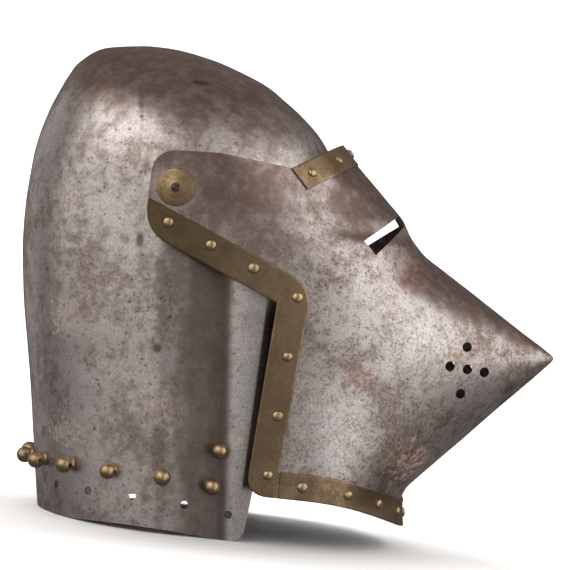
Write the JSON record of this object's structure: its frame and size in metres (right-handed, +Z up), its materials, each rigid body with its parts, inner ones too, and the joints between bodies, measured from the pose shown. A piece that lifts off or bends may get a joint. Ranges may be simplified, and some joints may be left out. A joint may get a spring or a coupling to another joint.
{
  "type": "visored bascinet helmet",
  "caption": "Steel bascinet with a high pointed back, a snouted visor turning on side pivots, brass borders and pierced brass knobs along the rim.",
  "frame": {"origin": "centre of the bounding box at the level of the rim it stands on", "axes": "+X the way the snout points, +Y the wearer's left, +Z up"},
  "size_m": [0.3795, 0.219, 0.326],
  "materials": {
    "skull_steel": "satin steel, aged and pitted",
    "visor_steel": "satin steel, aged, pitted, light rust",
    "pin_steel": "dark steel",
    "border_brass": "satin brass, dulled",
    "disc_brass": "satin brass, dulled",
    "rivet_brass": "worn brass",
    "knob_brass": "worn brass"
  },
  "bodies": {
    "skull_body": {"skull": "skull_steel", "pivot_disc_right": "disc_brass", "pivot_pin_right": "pin_steel", "pivot_disc_left": "disc_brass", "pivot_pin_left": "pin_steel", "knob_right_1": "knob_brass", "knob_right_2": "knob_brass", "knob_right_3": "knob_brass", "knob_right_4": "knob_brass", "knob_right_5": "knob_brass", "knob_right_6": "knob_brass", "knob_right_7": "knob_brass", "knob_left_1": "knob_brass", "knob_left_2": "knob_brass", "knob_left_3": "knob_brass", "knob_left_4": "knob_brass", "knob_left_5": "knob_brass", "knob_left_6": "knob_brass", "knob_left_7": "knob_brass"},
    "visor_body": {"visor": "visor_steel", "side_border_right": "border_brass", "side_border_left": "border_brass", "chin_border": "border_brass", "brow_border": "border_brass", "side_rivet_right_3": "rivet_brass", "side_rivet_right_2": "rivet_brass", "side_rivet_right_1": "rivet_brass", "side_rivet_right_4": "rivet_brass", "side_rivet_right_5": "rivet_brass", "side_rivet_right_6": "rivet_brass", "side_rivet_right_7": "rivet_brass", "chin_rivet_right_1": "rivet_brass", "chin_rivet_right_2": "rivet_brass", "chin_rivet_right_3": "rivet_brass", "chin_rivet_right_4": "rivet_brass", "brow_rivet_right_1": "rivet_brass", "brow_rivet_right_2": "rivet_brass", "side_rivet_left_3": "rivet_brass", "side_rivet_left_2": "rivet_brass", "side_rivet_left_1": "rivet_brass", "side_rivet_left_4": "rivet_brass", "side_rivet_left_5": "rivet_brass", "side_rivet_left_6": "rivet_brass", "side_rivet_left_7": "rivet_brass", "chin_rivet_left_1": "rivet_brass", "chin_rivet_left_2": "rivet_brass", "chin_rivet_left_3": "rivet_brass", "chin_rivet_left_4": "rivet_brass", "brow_rivet_left_1": "rivet_brass", "brow_rivet_left_2": "rivet_brass", "chin_rivet_middle": "rivet_brass", "brow_rivet_middle": "rivet_brass"}
  },
  "joints": [
    {"name": "visor_pivot", "type": "hinge", "parent": "skull_body", "child": "visor_body", "pos_m": [-0.0825, 0, 0.23], "axis": [0, -1, 0], "range_deg": [0, 75]}
  ]
}
